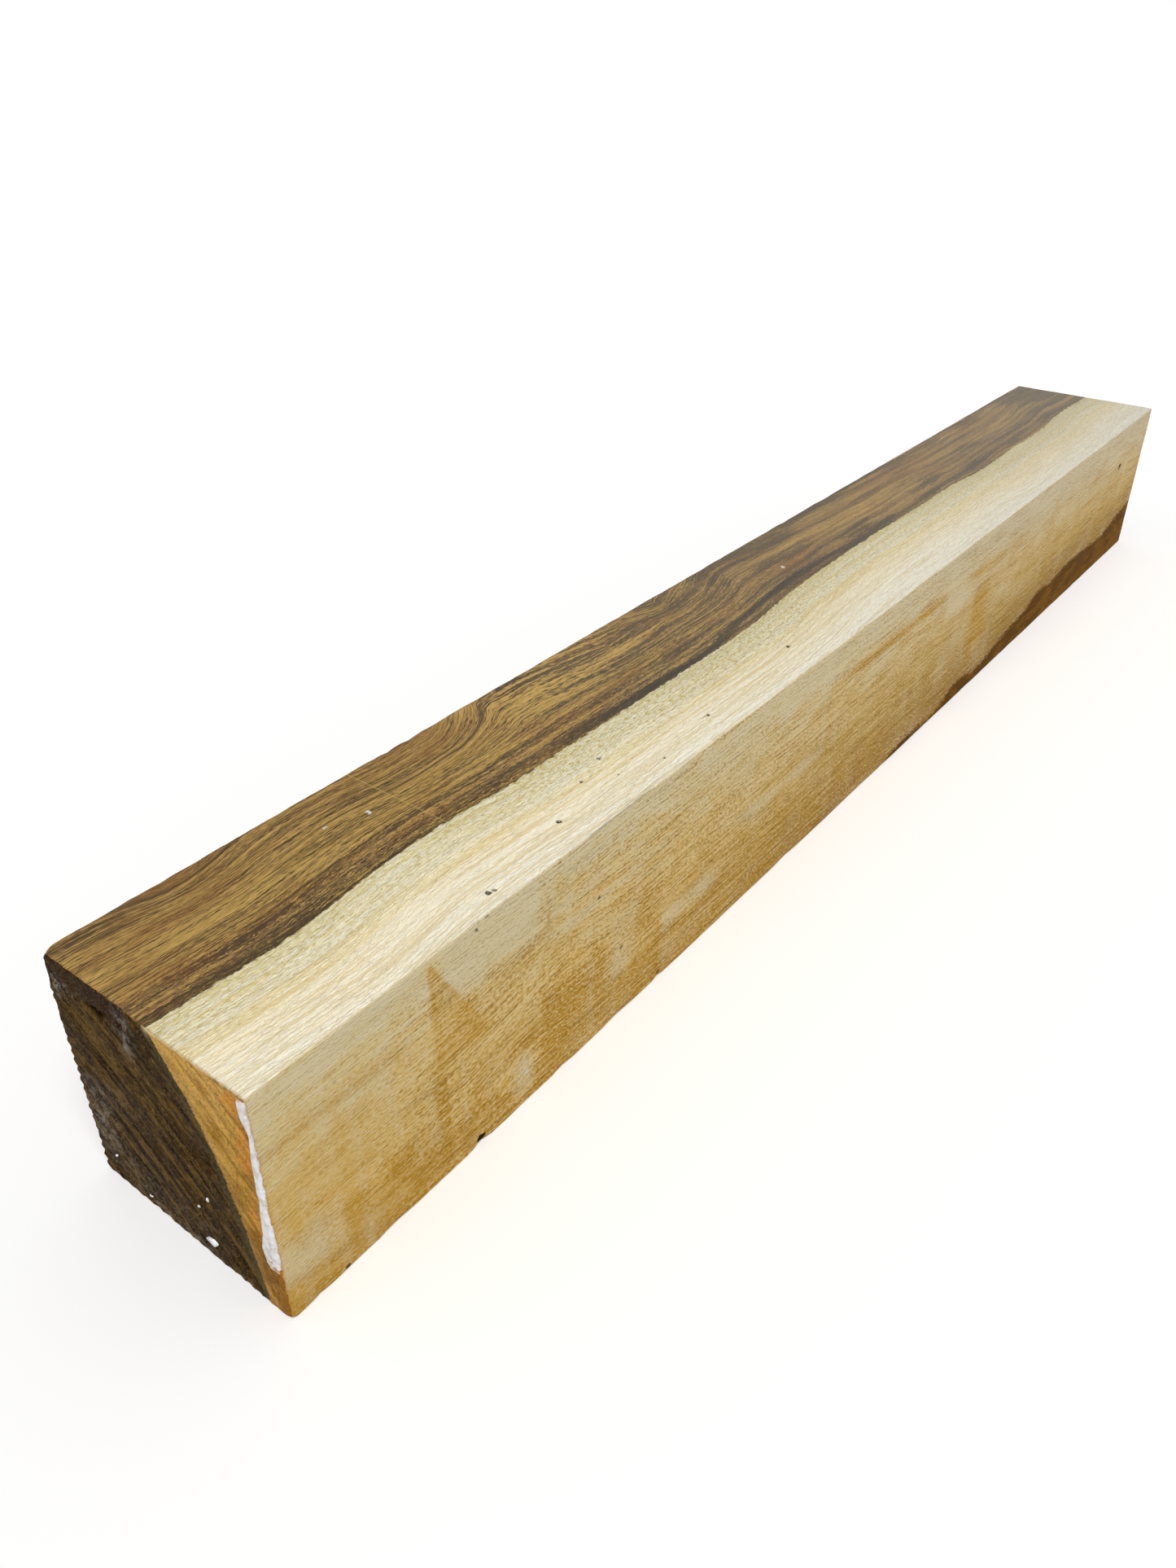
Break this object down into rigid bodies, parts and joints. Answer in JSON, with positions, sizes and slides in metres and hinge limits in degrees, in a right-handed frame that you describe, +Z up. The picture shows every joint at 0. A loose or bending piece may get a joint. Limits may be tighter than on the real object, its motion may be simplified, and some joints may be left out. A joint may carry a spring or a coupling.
{
  "type": "wood turning blank",
  "caption": "Squared length of streaky brown hardwood with a cream sapwood side, crosscut and wax-sealed on its end, for mounting between lathe centres.",
  "frame": {"origin": "middle of the wood's bottom face, on which the blank lies", "axes": "+X along the grain, from the near, wax-sealed end to the far end; +Y from the sapwood long side to the heartwood long side; +Z up, towards the two-tone face"},
  "size_m": [0.6108, 0.0734, 0.075],
  "materials": {
    "hardwood": "rough sawn, dark streaked heartwood with a cream sapwood side",
    "sealing_wax": "soft white paraffin end sealer"
  },
  "bodies": {
    "root": {"blank": "hardwood", "wax_bead": "sealing_wax", "wax_drop": "sealing_wax"}
  },
  "joints": []
}
